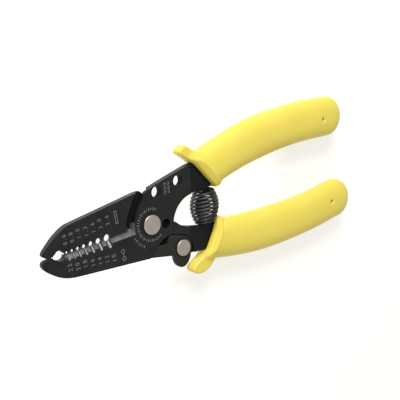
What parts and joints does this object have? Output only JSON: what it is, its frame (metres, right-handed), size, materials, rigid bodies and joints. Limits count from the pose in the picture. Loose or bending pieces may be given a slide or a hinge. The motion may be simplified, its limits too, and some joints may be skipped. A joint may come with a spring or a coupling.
{
  "type": "wire stripper",
  "caption": "Hand wire stripper: two pivoting steel blades with graded notches and a cutter, barrel return spring, lock lever and curved vinyl grips.",
  "frame": {"origin": "centre of the closed tool's bounding box, in the middle plane of the blades; the pivot axis is 35.4 mm from it towards -X", "axes": "+X along the closed tool towards the ends of the grips, so the jaws point to -X; +Y towards the upper handle; +Z out of the front face, along the pivot"},
  "size_m": [0.1688, 0.063, 0.0128],
  "materials": {
    "blade_steel": "black oxide, satin",
    "lever_steel": "black oxide, satin",
    "rivet_steel": "satin nickel",
    "washer_steel": "black oxide",
    "spring_steel": "oil tempered wire",
    "grip_vinyl": "smooth soft vinyl"
  },
  "bodies": {
    "lower_handle": {"rear_blade": "blade_steel", "lower_grip": "grip_vinyl", "pivot_rivet": "rivet_steel", "pivot_washer": "washer_steel", "latch_rivet": "rivet_steel", "latch_washer": "washer_steel", "return_spring": "spring_steel"},
    "upper_handle": {"front_blade": "blade_steel", "upper_grip": "grip_vinyl"},
    "lock": {"latch_lever": "lever_steel"}
  },
  "joints": [
    {"name": "handle_hinge", "type": "hinge", "parent": "lower_handle", "child": "upper_handle", "pos_m": [-0.0354, 0, 0], "axis": [0, 0, 1], "range_deg": [0, 13], "deforming": ["return_spring"]},
    {"name": "lock_hinge", "type": "hinge", "parent": "lower_handle", "child": "lock", "pos_m": [-0.0221, -0.0143, 0], "axis": [0, 0, 1], "range_deg": [0, 24]}
  ],
  "couplings": [
    {"joint": "lock_hinge", "follows": "handle_hinge", "ratio": 1.846}
  ]
}
